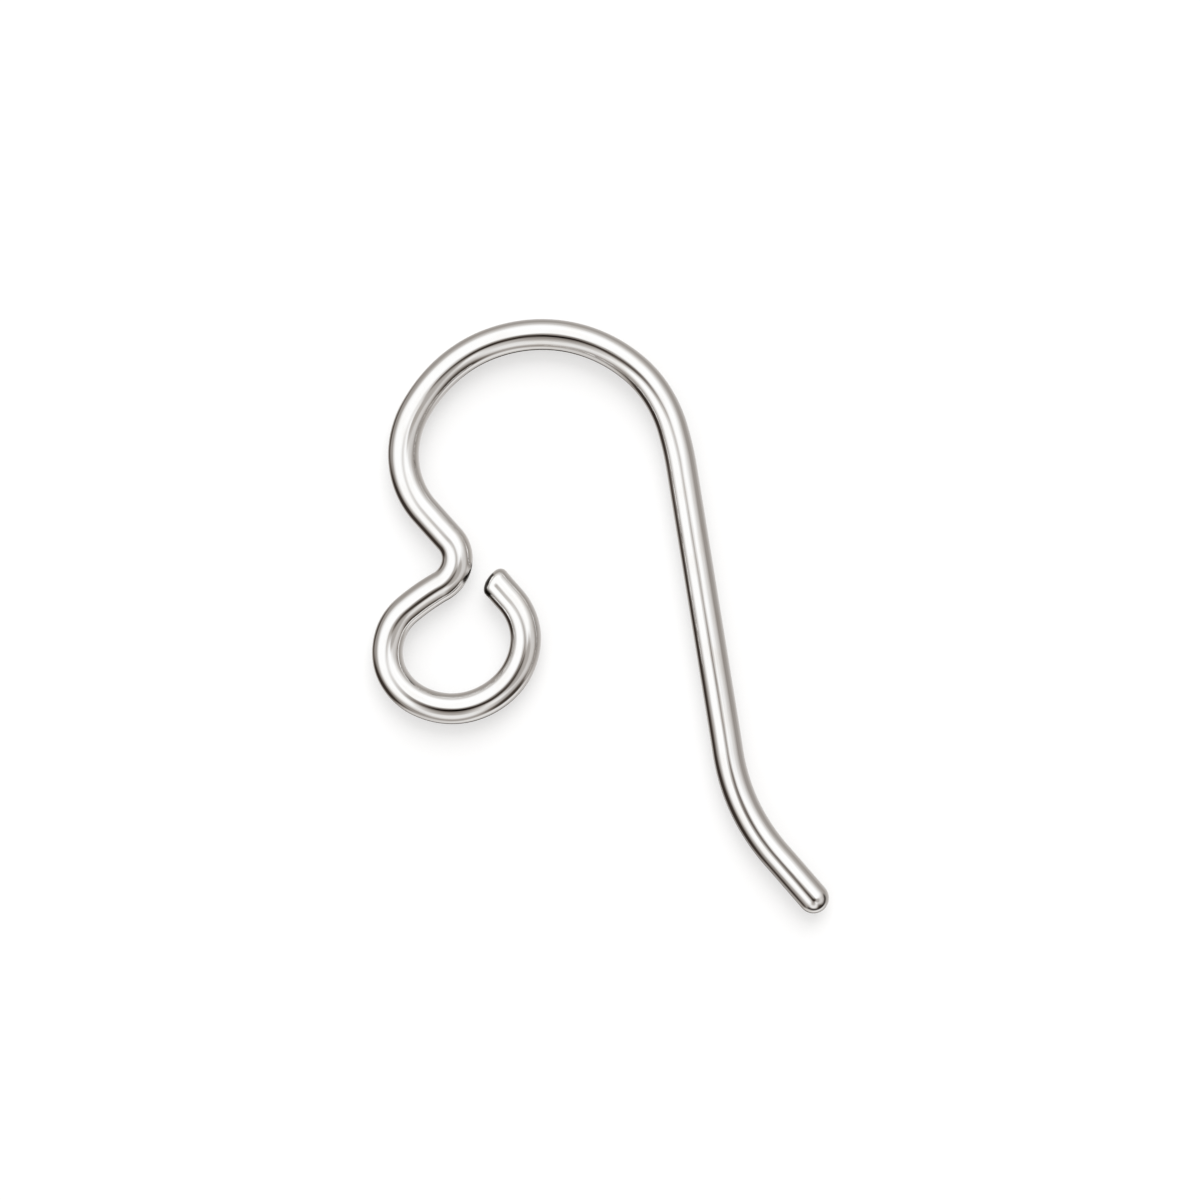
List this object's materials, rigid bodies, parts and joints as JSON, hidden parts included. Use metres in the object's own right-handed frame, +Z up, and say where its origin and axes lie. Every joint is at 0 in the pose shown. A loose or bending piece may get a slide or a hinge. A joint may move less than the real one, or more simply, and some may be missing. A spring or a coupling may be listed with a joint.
{
  "type": "ear wire",
  "caption": "Fish-hook ear wire: a round polished wire bent into an open charm loop, a tight neck, a wide arch for the ear lobe and a long leg with a flared, domed tail.",
  "frame": {"origin": "centre of the bounding box in plan, on the surface that the wire lies on", "axes": "+Y from the tail's tip towards the top of the arch, +X from the loop towards the leg, +Z up from the surface through the flat-lying wire"},
  "size_m": [0.0118, 0.0154, 0.0008],
  "materials": {
    "silver": "polished"
  },
  "bodies": {
    "root": {"ear_wire": "silver"}
  },
  "joints": []
}
